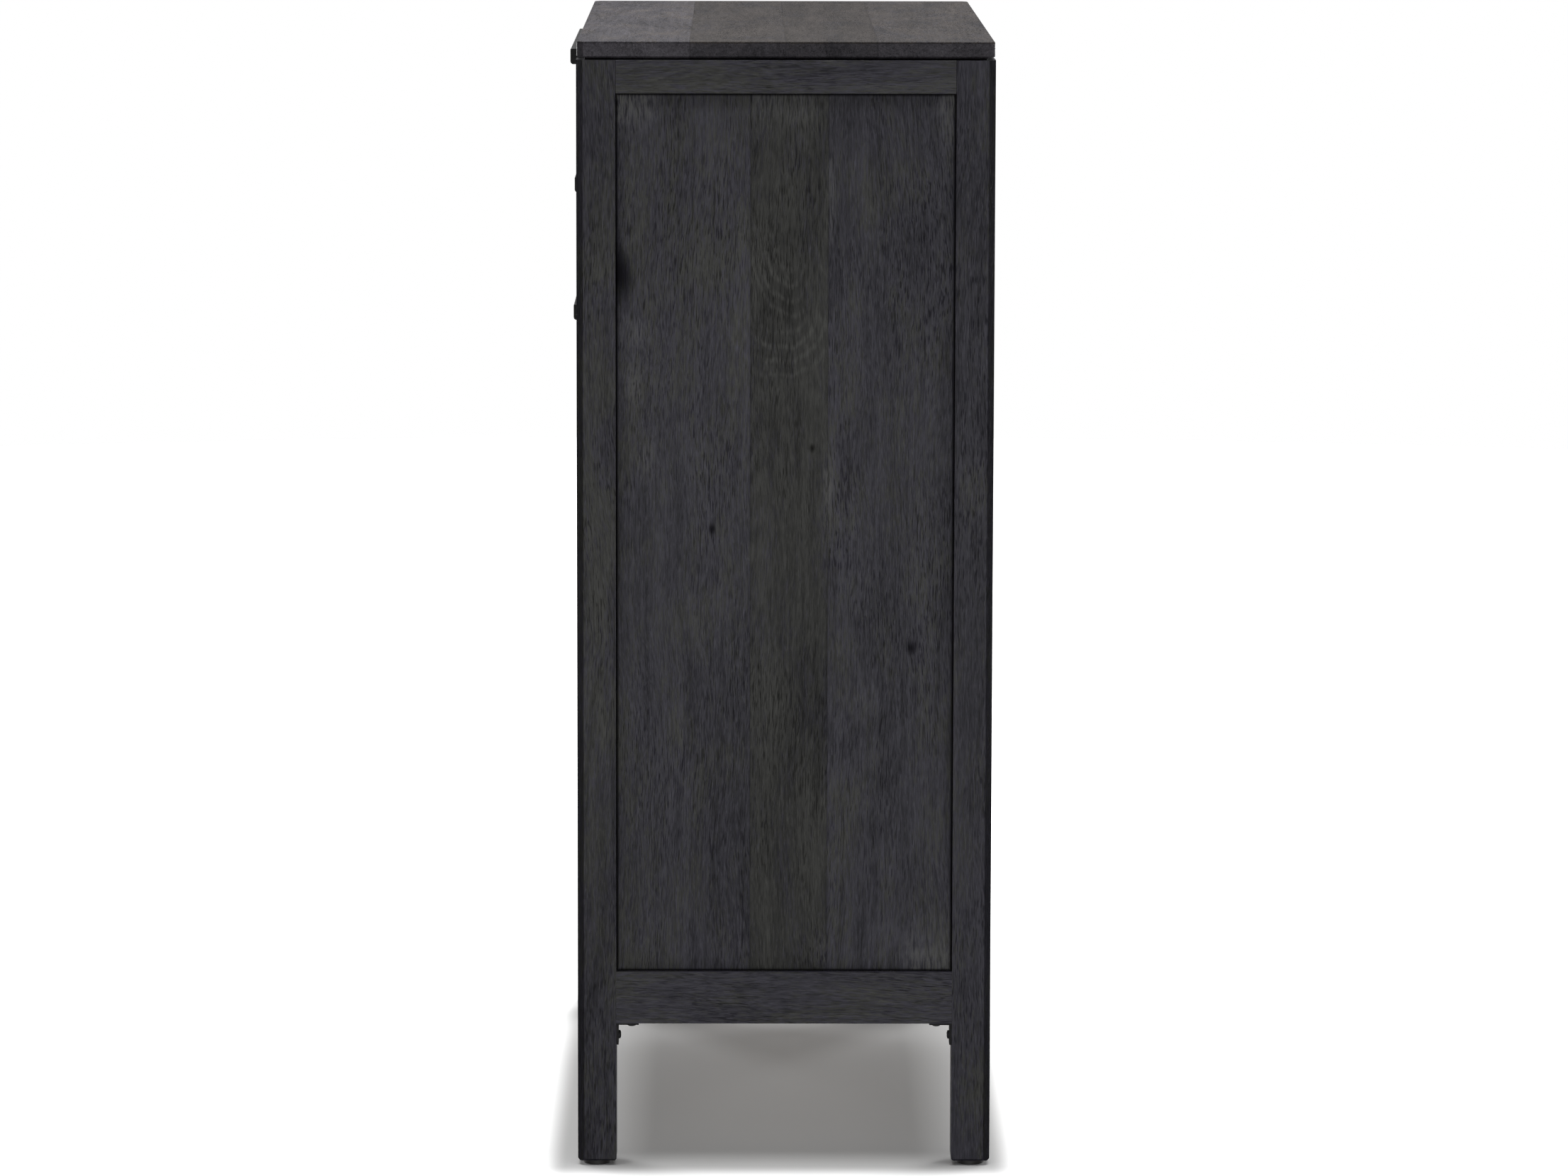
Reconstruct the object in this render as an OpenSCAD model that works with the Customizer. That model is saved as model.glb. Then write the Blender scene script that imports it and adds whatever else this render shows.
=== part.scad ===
// Apothecary cabinet: a post-and-rail case on four legs, three wide drawers over a two-door cupboard.
// Millimetres, +Z up, front towards -Y. The origin is on the floor, in the middle of the footprint.

/* [Case] */
// Overall width across the two sides
case_w = 818; // [760:2:900]
// Depth from the front faces of the posts to the back faces
case_d = 406; // [396:2:460]
// Overall height from the floor to the top surface
case_h = 1107; // [1090:1:1160]
// Square section of the four corner posts
post_w = 38; // [36:1:44]
// Width of the chamfers on the case's four outer vertical edges
chamfer = 5.8; // [1:0.2:8]
// Thickness of the top board where it shows
top_t = 15; // [12:1:20]
// Height of the shadow gap between the top board and the frame
reveal_h = 2.8; // [2:0.2:5]
// How far the top board's edges stand in from the frame
top_inset = 0.7; // [0:0.1:2]

/* [Frames and panels] */
// Thickness of the rails that join the posts
rail_t = 22; // [20:1:26]
// Height of the top rails
top_rail_h = 32.4; // [28:0.2:40]
// Height of the bottom rails
bottom_rail_h = 51.4; // [44:0.2:60]
// Clear height from the floor to the bottom rails
leg_h = 142.6; // [120:0.2:160]
// Thickness of the side panels
panel_t = 8; // [6:1:9]
// How far a side panel lies behind the face of its frame
panel_recess = 7; // [5:1:8]
// Thickness of the back panel
back_t = 6; // [4:1:8]
// How deep every panel sits in its grooves
groove_d = 8; // [5:1:8]
// Length of the tenons on the rails
tenon_l = 15; // [10:1:15]
// Thickness of the tenons on the rails
tenon_t = 10; // [8:1:12]

/* [Drawers] */
// Height from one drawer to the next
row_pitch = 128; // [124:1:134]
// Gap round the drawer fronts and the doors
front_gap = 3; // [2:0.5:4]
// Thickness of the drawer fronts and the doors
front_t = 17; // [16:1:20]
// How far the closed fronts and doors stand behind the posts
front_inset = 12; // [12:1:16]
// How far the top drawer stands out from fully home
top_ajar = 4; // [0:0.1:8]
// How far the bottom drawer stands out from fully home
bottom_ajar = 1.3; // [0:0.1:8]
// Height of the drawer boxes
box_h = 94; // [80:1:94]
// Depth of the drawer boxes behind their fronts
box_d = 336; // [300:1:336]
// Thickness of the drawer sides and backs
box_t = 12; // [10:1:14]
// Thickness of the drawer bottoms
bottom_t = 6; // [4:1:8]
// Thickness of the dividers inside the drawers
divider_t = 8; // [6:1:10]
// Height of the dividers above the drawer bottoms
divider_h = 66; // [40:1:70]
// Number of compartments across each drawer
compartments = 4; // [2:1:6]
// Thickness of the rails and runners between the drawers
blade_h = 18; // [16:1:18]
// Depth of the drawer rails from front to back
blade_d = 60; // [50:1:80]

/* [Pulls and labels] */
// Length of the drawer pulls
pull_l = 384; // [200:2:400]
// Length of the door pulls
door_pull_l = 192; // [120:2:240]
// How far the pulls stand out from the fronts
pull_out = 18.6; // [16:0.1:24]
// Width of the pulls across their mouths
pull_h = 15.4; // [14:0.1:20]
// Plate thickness of the pulls
pull_t = 2.4; // [2:0.1:3]
// Width of a card frame
card_w = 64; // [50:1:80]
// Height of a card frame
card_h = 34; // [26:1:40]
// Thickness of a card frame
card_t = 1.8; // [1.4:0.1:3]
// Width of the rim round a card
card_rim = 5; // [4:0.5:7]

/* [Doors and cupboard] */
// Width of the door stiles
stile_w = 46; // [40:1:56]
// Height of the doors' top rails
door_top_rail_h = 46; // [40:1:56]
// Height of the doors' bottom rails
door_bottom_rail_h = 58; // [44:1:70]
// Thickness of the door panels
door_panel_t = 6; // [5:1:7]
// How far a door panel lies behind the face of its frame
door_recess = 5; // [4:1:6]
// Thickness of the cupboard's floor and shelf
shelf_t = 15; // [12:1:18]
// Height of the shelf's underside above the cupboard floor
shelf_lift = 240; // [150:5:330]

/* [Hinges and catches] */
// Height of a hinge
hinge_h = 50; // [40:1:70]
// Outer radius of a hinge barrel
barrel_r = 3.2; // [3:0.1:3.5]
// Radius of a hinge pin
pin_r = 1.5; // [1.2:0.1:1.8]
// Thickness of the hinge leaves
leaf_t = 1.6; // [1.2:0.1:2]
// Width of the leaf on a door's face
leaf_w = 24; // [16:1:32]

/* [Brackets and feet] */
// Length of each arm of a corner bracket
bracket_l = 22; // [18:1:30]
// Width of a corner bracket
bracket_w = 16; // [12:1:18]
// Thickness of a corner bracket
bracket_t = 2.2; // [1.5:0.1:3]
// How far a bracket stands in from the outer face of its rail
bracket_in = 3; // [1:0.5:4]
// Radius of the foot glides
glide_r = 14; // [9:0.5:16]
// Height of the foot glides
glide_h = 4.5; // [2.5:0.5:6]
// Width of the bevel round the bottom of each leg
foot_ease = 2; // [0.5:0.5:3]

/* [Hidden] */
$fn = 48;

// Small constants shared by several parts
eps = 0.1;                 // overrun that keeps cuts clean
rows = 3;                  // drawers, one above another
stop_gap = 0.4;            // air left where a front meets its stop
slide_gap = 0.5;           // air under a drawer box
guide_gap = 1;             // air between a drawer side and its guide
knuckle_gap = 0.3;         // air between hinge knuckles, and round the barrel
pin_fit = 0.05;            // radial clearance of a hinge pin
tenon_shoulder = 8;        // how far tenons stop short of a rail's edges
tongue_in = 8;             // how far the top board's tongue stands in
glue_gap = 0.05;           // thickness of a glue line between pieces of one node
bottom_lift = 10;          // height of a drawer bottom above its box's lower edge
runner_w = 33;             // width of a drawer runner
guide_w = 14;              // width of the side guide on a runner
guide_h = 14;              // height of the side guide on a runner
score_w = 4;               // width of the grooves that divide a drawer front
score_d = 3;               // depth of those grooves
cleat_w = 12;              // width of a shelf cleat
cleat_h = 18;              // height of a shelf cleat
screw_r = 1.8;             // shank radius of the bracket screws
screw_l = 12;              // shank length in the wood
head_r = 4.2;              // head radius of the bracket screws
head_h = 2.4;              // head height of the bracket screws
hole_slack = 0.05;         // radial slack of a screw or nail hole
nail_r = 1.5;              // radius of a glide's nail
nail_l = 10;               // length of a glide's nail
catch_w = 40;              // width of a magnetic catch
catch_d = 14;              // depth of a magnetic catch
catch_h = 12;              // height of a magnetic catch
catch_x = 45;              // distance of a catch from the middle of the cabinet
strike_w = 30;             // width of a strike plate
strike_h = 11;             // height of a strike plate
strike_t = 1.2;            // thickness of a strike plate
strike_drop = 0.5;         // how far a strike plate stays below the cupboard's ceiling
pull_drop = 60;            // distance of a door pull from the door's top edge
hinge_in = 70;             // distance of a hinge's middle from the end of its door
post_leaf_w = 15;          // width of the leaf between a post and its door
shelf_clear = 1;          // how far the shelf stands in from its opening at each side
shelf_set = 14;            // how far the shelf's front edge lies behind the drawer rails' edges
shelf_back = 2;            // air behind the shelf
cleat_set = 2;             // how far the cleats' front ends lie behind the rails' edges
rail_screw_at = 0.68;      // place of the rail's screw along a bracket's arm, as a share of its length
leg_screw_at = 0.59;       // place of the leg's screw along its arm
head_taper = 0.78;         // radius of a screw head's outer face, as a share of its rim
pull_round = 3;            // rounding of a pull's lower outer edge
pull_ease = 1;             // rounding of a pull's upper outer edge
back_set = 8;              // how far the back panel lies in from the back of the case
top_gap = 1.2;             // air above the top drawer front

// Widths
half_w = case_w / 2;
post_in = half_w - post_w;                 // inner face of the posts
rail_in = half_w - rail_t;                 // inner face of the side rails
panel_out = half_w - panel_recess;         // outer face of a side panel
box_half = post_in - guide_w - guide_gap;  // outer face of a drawer side
front_half = post_in - front_gap / 2;      // half the width of a drawer front

// Depths, with the pull of the top drawer counted in the footprint
pull_proud = pull_out - front_inset + top_ajar;
front_y = -(case_d - pull_proud) / 2;      // front faces of the posts
back_y = front_y + case_d;                 // back faces of the posts
home_y = front_y + front_inset;            // face of a closed front
blade_y = home_y + front_t + stop_gap;     // front edge of the drawer rails
back_panel_y = back_y - back_set - back_t; // inner face of the back panel

// Heights
frame_top = case_h - top_t - reveal_h;
top_rail_z = frame_top - top_rail_h;
bottom_rail_z = leg_h;
floor_z = leg_h + bottom_rail_h;           // top of the cupboard floor
first_top = frame_top - top_gap;           // top edge of the top drawer front
front_h = row_pitch - front_gap;
box_lift = 8;                              // a box stands above its front's lower edge
ceiling_z = first_top - rows * row_pitch + front_gap / 2 - blade_h / 2;
door_z = floor_z + front_gap;
door_top = first_top - rows * row_pitch;
door_h = door_top - door_z;
door_w = front_half - front_gap / 2;
shelf_z = floor_z + shelf_lift;

// Hinges
pin_x = post_in - barrel_r - knuckle_gap;
pin_y = home_y - barrel_r - knuckle_gap;
hinge_zs = [door_z + hinge_in, door_top - hinge_in];
knuckle_h = (hinge_h - 2 * knuckle_gap) / 3;

// How far each drawer stands out from fully home, and the height of its front's lower edge
function ajar(i) = [top_ajar, 0, bottom_ajar][i];
function front_z(i) = first_top - (i + 1) * row_pitch + front_gap;
function face_y(i) = home_y - ajar(i);
function box_z(i) = front_z(i) + box_lift;
function back_face_y(i) = face_y(i) + front_t;
function even(n, span) = [for (k = [1:n - 1]) -span / 2 + k * span / n];

// A box from its lowest corner to its highest corner
module block(lo, hi) {
    translate(lo)
        cube(hi - lo);
}

// Draws its children and their mirror image across the middle of the cabinet
module both_sides() {
    children();
    mirror([1, 0, 0])
        children();
}

module wood() {
    color("#3b3938")
        children();
}

module inner_wood() {
    color("#8a7458")
        children();
}

module black_iron() {
    color("#1f1f21")
        children();
}

// ---- Case ----

// What is cut off the right front edge to chamfer it, the edge at [x, y]
module edge_cut(x, y) {
    translate([x, y, 0])
        linear_extrude(case_h + eps)
            polygon([[-chamfer - eps, -eps], [eps, -eps], [eps, chamfer + eps]]);
}

// The same at the right back edge
module back_edge_cut(x, y) {
    translate([0, y, 0])
        mirror([0, 1, 0])
            edge_cut(x, 0);
}

// What is cut off the four bottom edges of a leg to bevel them, about the middle of its end
module foot_bevels() {
    for (a = [0, 90, 180, 270])
        rotate([0, 0, a])
            translate([-post_w / 2, -post_w, 0])
                rotate([-90, 0, 0])
                    linear_extrude(2 * post_w)
                        polygon([[-eps, eps], [foot_ease + eps, eps], [-eps, -foot_ease - eps]]);
}

// The top board, with a tongue below it that makes the shadow gap
module top_board() {
    wood() {
        difference() {
            block([-half_w + top_inset, front_y + top_inset, case_h - top_t],
                  [half_w - top_inset, back_y - top_inset, case_h]);
            both_sides() {
                edge_cut(half_w - top_inset, front_y + top_inset);
                back_edge_cut(half_w - top_inset, back_y - top_inset);
            }
        }
        block([-half_w + tongue_in, front_y + tongue_in, frame_top],
              [half_w - tongue_in, back_y - tongue_in, case_h - top_t]);
    }
}

// Heights of a tenon in the top and bottom rails
function tenon_span(low) = low
    ? [bottom_rail_z + tenon_shoulder, floor_z - tenon_shoulder]
    : [top_rail_z + tenon_shoulder, frame_top - tenon_shoulder];

// The tenon on the end of a side rail, in the post at the right side
module side_tenon(front, low) {
    z = tenon_span(low);
    mid = half_w - rail_t / 2;
    y0 = front ? front_y + post_w - tenon_l : back_y - post_w;
    block([mid - tenon_t / 2, y0, z[0]], [mid + tenon_t / 2, y0 + tenon_l, z[1]]);
}

// The tenon on the end of a front or back rail, in the post at the right side
module cross_tenon(front, low) {
    z = tenon_span(low);
    mid = front ? front_y + rail_t / 2 : back_y - rail_t / 2;
    block([post_in, mid - tenon_t / 2, z[0]], [post_in + tenon_l, mid + tenon_t / 2, z[1]]);
}

// The screw holes of the bracket at one end of the right side rail
module bracket_holes(front) {
    translate(bracket_corner(front)) {
        screw_axis_leg(front)
            cylinder(r = screw_r + hole_slack, h = screw_l + eps);
        screw_axis_rail(front)
            cylinder(r = screw_r + hole_slack, h = screw_l + eps);
    }
}

// A post at the right side, with its mortises, panel grooves and holes
module right_post(front) {
    y0 = front ? front_y : back_y - post_w;
    wood()
        difference() {
            block([post_in, y0, glide_h], [half_w, y0 + post_w, frame_top]);
            if (front)
                edge_cut(half_w, front_y);
            else
                back_edge_cut(half_w, back_y);
            side_tenon(front, true);
            side_tenon(front, false);
            cross_tenon(front, true);
            if (!front)
                cross_tenon(front, false);
            side_panel_slab();
            if (!front)
                back_panel_slab();
            bracket_holes(front);
            translate([post_in + post_w / 2, y0 + post_w / 2, glide_h]) {
                foot_bevels();
                translate([0, 0, -eps])
                    cylinder(r = nail_r + hole_slack, h = nail_l + eps);
            }
        }
}

// A side rail at the right, grooved for the panel
module right_rail(low) {
    z0 = low ? bottom_rail_z : top_rail_z;
    z1 = low ? floor_z : frame_top;
    wood()
        difference() {
            union() {
                block([rail_in, front_y + post_w, z0], [half_w, back_y - post_w, z1]);
                side_tenon(true, low);
                side_tenon(false, low);
            }
            side_panel_slab();
            if (low)
                for (front = [true, false])
                    bracket_holes(front);
        }
}

// The side panel's whole sheet, edges in the grooves
module side_panel_slab() {
    block([panel_out - panel_t, front_y + post_w - groove_d, floor_z - groove_d],
          [panel_out, back_y - post_w + groove_d, top_rail_z + groove_d]);
}

module right_panel() {
    wood()
        side_panel_slab();
}

// The back panel's whole sheet, edges in the grooves
module back_panel_slab() {
    block([-post_in - groove_d, back_panel_y, floor_z - groove_d],
          [post_in + groove_d, back_panel_y + back_t, top_rail_z + groove_d]);
}

module back_panel() {
    wood()
        back_panel_slab();
}

module back_rail(low) {
    z0 = low ? bottom_rail_z : top_rail_z;
    z1 = low ? floor_z : frame_top;
    wood()
        difference() {
            union() {
                block([-post_in, back_y - rail_t, z0], [post_in, back_y, z1]);
                both_sides()
                    cross_tenon(false, low);
            }
            back_panel_slab();
        }
}

module front_bottom_rail() {
    wood() {
        block([-post_in, front_y, bottom_rail_z], [post_in, front_y + rail_t, floor_z]);
        both_sides()
            cross_tenon(true, true);
    }
}

// A drawer rail with its underside at height z
module drawer_rail(z) {
    wood()
        block([-post_in, blade_y, z], [post_in, blade_y + blade_d, z + blade_h]);
}

// Height of the underside of the rail below drawer row i
function blade_z(i) = front_z(i) - front_gap / 2 - blade_h / 2;

// Runners with their side guides, the guides on the cupboard's ceiling, and the kickers at the top
module drawer_runners() {
    y0 = blade_y + blade_d;
    inner_wood()
        both_sides() {
            for (i = [0, 1]) {
                block([post_in - runner_w, y0, blade_z(i)], [post_in, back_panel_y, blade_z(i) + blade_h]);
                block([post_in - guide_w, y0, blade_z(i) + blade_h],
                      [post_in, back_panel_y, blade_z(i) + blade_h + guide_h]);
            }
            block([post_in - guide_w, y0, ceiling_z + blade_h],
                  [post_in, back_panel_y, ceiling_z + blade_h + guide_h]);
            block([post_in - runner_w, y0, frame_top - blade_h],
                  [post_in, back_y - rail_t, frame_top]);
        }
}

module cupboard_ceiling() {
    inner_wood()
        block([-post_in, blade_y, ceiling_z], [post_in, back_panel_y, ceiling_z + blade_h]);
}

// The floor board, notched round the posts
module cupboard_floor() {
    inner_wood()
        difference() {
            block([-rail_in, front_y + rail_t, floor_z - shelf_t],
                  [rail_in, back_y - rail_t, floor_z]);
            both_sides() {
                block([post_in, front_y, floor_z - shelf_t - eps],
                      [half_w, front_y + post_w, floor_z + eps]);
                block([post_in, back_y - post_w, floor_z - shelf_t - eps],
                      [half_w, back_y, floor_z + eps]);
                side_panel_slab();
            }
            back_panel_slab();
        }
}

module cupboard_shelf() {
    inner_wood()
        block([-post_in + shelf_clear, blade_y + shelf_set, shelf_z],
              [post_in - shelf_clear, back_panel_y - shelf_back, shelf_z + shelf_t]);
}

module shelf_cleats() {
    inner_wood()
        both_sides()
            block([post_in - cleat_w, blade_y + cleat_set, shelf_z - cleat_h],
                  [post_in, back_panel_y, shelf_z]);
}

// ---- Brackets and feet ----

// The corner below the right side rail, at the front or the rear leg
function bracket_corner(front) = [
    half_w - bracket_in - bracket_w / 2,
    front ? front_y + post_w : back_y - post_w,
    bottom_rail_z
];

// Points the Z axis out of the leg's side towards the screw's tip
module screw_axis_leg(front) {
    translate([0, 0, -bracket_l * leg_screw_at])
        rotate([front ? 90 : -90, 0, 0])
            children();
}

// Points the Z axis up into the rail
module screw_axis_rail(front) {
    translate([0, (front ? 1 : -1) * bracket_l * rail_screw_at, 0])
        children();
}

// One L of folded plate, with a hole in each arm
module corner_bracket(front) {
    s = front ? 1 : -1;
    translate(bracket_corner(front))
        difference() {
            linear_bracket(s);
            screw_axis_leg(front)
                translate([0, 0, -bracket_t - eps])
                    cylinder(r = screw_r + hole_slack, h = bracket_t + 2 * eps);
            screw_axis_rail(front)
                translate([0, 0, -bracket_t - eps])
                    cylinder(r = screw_r + hole_slack, h = bracket_t + 2 * eps);
        }
}

// The two arms before drilling; s is +1 at the front leg and -1 at the rear leg
module linear_bracket(s) {
    translate([-bracket_w / 2, 0, 0])
        rotate([90, 0, 90])
            linear_extrude(bracket_w)
                polygon([[0, 0], [s * bracket_l, 0], [s * bracket_l, -bracket_t],
                         [s * bracket_t, -bracket_t], [s * bracket_t, -bracket_l], [0, -bracket_l]]);
}

module corner_brackets() {
    black_iron()
        both_sides() {
            corner_bracket(true);
            corner_bracket(false);
        }
}

// A pan-head screw, its tip along +Z and its head outside the plate
module pan_screw() {
    cylinder(r = screw_r, h = screw_l);
    translate([0, 0, -bracket_t])
        cylinder(r = screw_r, h = bracket_t);
    translate([0, 0, -bracket_t - head_h])
        cylinder(r1 = head_r * head_taper, r2 = head_r, h = head_h);
}

module bracket_screws() {
    black_iron()
        both_sides()
            for (front = [true, false])
                translate(bracket_corner(front)) {
                    screw_axis_leg(front)
                        pan_screw();
                    screw_axis_rail(front)
                        pan_screw();
                }
}

// A round glide with the nail that holds it in a leg
module foot_glides() {
    color("#2a2724")
        both_sides()
            for (y = [front_y + post_w / 2, back_y - post_w / 2])
                translate([post_in + post_w / 2, y, 0]) {
                    cylinder(r = glide_r, h = glide_h);
                    cylinder(r = nail_r, h = glide_h + nail_l);
                }
}

// ---- Drawers ----

// The front board, scored into fields and grooved inside for the bottom
module drawer_front(i) {
    wood()
        difference() {
            block([-front_half, face_y(i), front_z(i)],
                  [front_half, back_face_y(i), front_z(i) + front_h]);
            for (x = even(compartments, 2 * front_half))
                block([x - score_w / 2, face_y(i) - eps, front_z(i) - eps],
                      [x + score_w / 2, face_y(i) + score_d, front_z(i) + front_h - pull_h]);
            drawer_bottom_slab(i);
        }
}

// The bottom's whole sheet, three edges in grooves
module drawer_bottom_slab(i) {
    z = box_z(i) + bottom_lift;
    block([-box_half + box_t / 2, back_face_y(i) - box_t / 2, z],
          [box_half - box_t / 2, back_face_y(i) + box_d, z + bottom_t]);
}

module drawer_bottom(i) {
    inner_wood()
        drawer_bottom_slab(i);
}

// Two sides grooved for the bottom, and a back that stands on it
module drawer_walls(i) {
    y0 = back_face_y(i);
    inner_wood() {
        both_sides()
            difference() {
                block([box_half - box_t, y0, box_z(i)], [box_half, y0 + box_d, box_z(i) + box_h]);
                drawer_bottom_slab(i);
            }
        block([-box_half + box_t + glue_gap, y0 + box_d - box_t, box_z(i) + bottom_lift + bottom_t],
              [box_half - box_t - glue_gap, y0 + box_d, box_z(i) + box_h]);
    }
}

module drawer_dividers(i) {
    z = box_z(i) + bottom_lift + bottom_t;
    inner_wood()
        for (x = even(compartments, 2 * (box_half - box_t) + divider_t))
            block([x - divider_t / 2, back_face_y(i), z],
                  [x + divider_t / 2, back_face_y(i) + box_d - box_t, z + divider_h]);
}

// A long cup pull along X: closed above, in front and at both ends, open below.
// Its back lies on the plane y = 0, its closed edge on z = 0, and it stands out towards -Y.
module cup_pull(length) {
    black_iron()
        difference() {
            rotate([90, 0, 90])
                translate([0, 0, -length / 2])
                    linear_extrude(length)
                        pull_outline();
            block([-length / 2 + pull_t, -pull_out + pull_t, -pull_h - eps],
                  [length / 2 - pull_t, -pull_t, -pull_t]);
        }
}

// The pull seen from its end, with its lower outer corner rounded
module pull_outline() {
    difference() {
        translate([-pull_out, -pull_h])
            square([pull_out, pull_h]);
        difference() {
            translate([-pull_out - eps, -pull_h - eps])
                square([pull_round + eps, pull_round + eps]);
            translate([-pull_out + pull_round, -pull_h + pull_round])
                circle(r = pull_round);
        }
        difference() {
            translate([-pull_out - eps, -pull_ease])
                square([pull_ease + eps, pull_ease + eps]);
            translate([-pull_out + pull_ease, -pull_ease])
                circle(r = pull_ease);
        }
    }
}

module drawer_pull(i) {
    translate([0, face_y(i), front_z(i) + front_h])
        cup_pull(pull_l);
}

// Card frames, one on each field of the front
module card_frames(i) {
    field = 2 * front_half / compartments;
    z = front_z(i) + (front_h - pull_h) / 2;
    color("#4a4238")
        for (k = [0:compartments - 1])
            translate([-front_half + (k + 0.5) * field, face_y(i), z])
                difference() {
                    block([-card_w / 2, -card_t, -card_h / 2], [card_w / 2, 0, card_h / 2]);
                    block([-card_w / 2 + card_rim, -card_t - eps, -card_h / 2 + card_rim],
                          [card_w / 2 - card_rim, eps, card_h / 2 - card_rim]);
                }
}

// ---- Doors, drawn at the right and mirrored for the left ----

door_x0 = front_gap / 2;
door_x1 = door_x0 + door_w;
door_back = home_y + front_t;

// The door panel's whole sheet, edges in the grooves
module door_panel_slab() {
    block([door_x0 + stile_w - groove_d, home_y + door_recess, door_z + door_bottom_rail_h - groove_d],
          [door_x1 - stile_w + groove_d, home_y + door_recess + door_panel_t,
           door_top - door_top_rail_h + groove_d]);
}

module door_panel() {
    wood()
        door_panel_slab();
}

module door_stiles() {
    wood()
        difference() {
            union() {
                block([door_x0, home_y, door_z], [door_x0 + stile_w, door_back, door_top]);
                block([door_x1 - stile_w, home_y, door_z], [door_x1, door_back, door_top]);
            }
            door_panel_slab();
        }
}

module door_rails() {
    x0 = door_x0 + stile_w;
    x1 = door_x1 - stile_w;
    wood()
        difference() {
            union() {
                block([x0, home_y, door_top - door_top_rail_h], [x1, door_back, door_top]);
                block([x0, home_y, door_z], [x1, door_back, door_z + door_bottom_rail_h]);
            }
            door_panel_slab();
        }
}

// The same cup pull upright, its closed edge along the meeting edge of the door
module door_pull() {
    translate([door_x0, home_y, door_top - pull_drop - door_pull_l / 2])
        rotate([0, -90, 0])
            cup_pull(door_pull_l);
}

// Leaves on the door's face, each with the middle knuckle of its hinge
module door_hinge_leaves() {
    black_iron()
        for (z = hinge_zs)
            difference() {
                union() {
                    translate([pin_x, pin_y, z - knuckle_h / 2])
                        cylinder(r = barrel_r, h = knuckle_h);
                    block([pin_x - leaf_w, home_y - leaf_t, z - hinge_h / 2],
                          [pin_x - barrel_r - knuckle_gap, home_y, z + hinge_h / 2]);
                    block([pin_x - barrel_r - knuckle_gap, home_y - leaf_t, z - knuckle_h / 2],
                          [pin_x, home_y, z + knuckle_h / 2]);
                }
                translate([pin_x, pin_y, z - hinge_h])
                    cylinder(r = pin_r + pin_fit, h = 2 * hinge_h);
            }
}

module door_strike() {
    color("#8c8c8e")
        block([catch_x - strike_w / 2, door_back, ceiling_z - strike_h - strike_drop],
              [catch_x + strike_w / 2, door_back + strike_t, ceiling_z - strike_drop]);
}

// Thin leaves between the posts and the doors' edges, each with the outer knuckles of its hinge
module post_hinge_leaves() {
    leaf_x = post_in - front_gap / 2 + knuckle_gap;
    leaf_y = home_y - knuckle_gap;
    black_iron()
        both_sides()
            for (z = hinge_zs)
                difference() {
                    union() {
                        for (s = [-1, 1]) {
                            z0 = z + s * (knuckle_h + knuckle_gap) - knuckle_h / 2;
                            translate([pin_x, pin_y, z0])
                                cylinder(r = barrel_r, h = knuckle_h);
                            block([pin_x + barrel_r / 4, pin_y - barrel_r / 2, z0],
                                  [post_in, leaf_y + eps, z0 + knuckle_h]);
                        }
                        block([leaf_x, leaf_y, z - hinge_h / 2],
                              [post_in, leaf_y + post_leaf_w, z + hinge_h / 2]);
                    }
                    translate([pin_x, pin_y, z - hinge_h])
                        cylinder(r = pin_r, h = 2 * hinge_h);
                }
}

module hinge_pins() {
    color("#303032")
        both_sides()
            for (z = hinge_zs)
                translate([pin_x, pin_y, z - hinge_h / 2])
                    cylinder(r = pin_r, h = hinge_h);
}

module magnetic_catches() {
    y0 = door_back + strike_t + stop_gap;
    color("#2a2724")
        both_sides()
            block([catch_x - catch_w / 2, y0, ceiling_z - catch_h],
                  [catch_x + catch_w / 2, y0 + catch_d, ceiling_z]);
}

module left() {
    mirror([1, 0, 0])
        children();
}

top_board();
left() right_post(true);  // front_left_post
right_post(true);  // front_right_post
left() right_post(false);  // rear_left_post
right_post(false);  // rear_right_post
left() right_rail(false);  // left_top_rail
right_rail(false);  // right_top_rail
left() right_rail(true);  // left_bottom_rail
right_rail(true);  // right_bottom_rail
left() right_panel();  // left_side_panel
right_panel();  // right_side_panel
back_rail(false);  // back_top_rail
back_rail(true);  // back_bottom_rail
back_panel();
drawer_rail(frame_top - blade_h);  // front_top_rail
drawer_rail(blade_z(0));  // upper_drawer_rail
drawer_rail(blade_z(1));  // lower_drawer_rail
front_bottom_rail();
drawer_runners();
cupboard_ceiling();
cupboard_floor();
cupboard_shelf();
shelf_cleats();
corner_brackets();
bracket_screws();
foot_glides();
post_hinge_leaves();
hinge_pins();
magnetic_catches();
drawer_front(0);  // top_drawer_front
drawer_walls(0);  // top_drawer_walls
drawer_bottom(0);  // top_drawer_bottom
drawer_dividers(0);  // top_drawer_dividers
drawer_pull(0);  // top_drawer_pull
card_frames(0);  // top_drawer_card_frames
drawer_front(1);  // middle_drawer_front
drawer_walls(1);  // middle_drawer_walls
drawer_bottom(1);  // middle_drawer_bottom
drawer_dividers(1);  // middle_drawer_dividers
drawer_pull(1);  // middle_drawer_pull
card_frames(1);  // middle_drawer_card_frames
drawer_front(2);  // bottom_drawer_front
drawer_walls(2);  // bottom_drawer_walls
drawer_bottom(2);  // bottom_drawer_bottom
drawer_dividers(2);  // bottom_drawer_dividers
drawer_pull(2);  // bottom_drawer_pull
card_frames(2);  // bottom_drawer_card_frames
left() door_stiles();  // left_door_stiles
left() door_rails();  // left_door_rails
left() door_panel();  // left_door_panel
left() door_pull();  // left_door_pull
left() door_hinge_leaves();  // left_door_hinge_leaves
left() door_strike();  // left_door_strike
door_stiles();  // right_door_stiles
door_rails();  // right_door_rails
door_panel();  // right_door_panel
door_pull();  // right_door_pull
door_hinge_leaves();  // right_door_hinge_leaves
door_strike();  // right_door_strike
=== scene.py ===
import math

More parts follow.
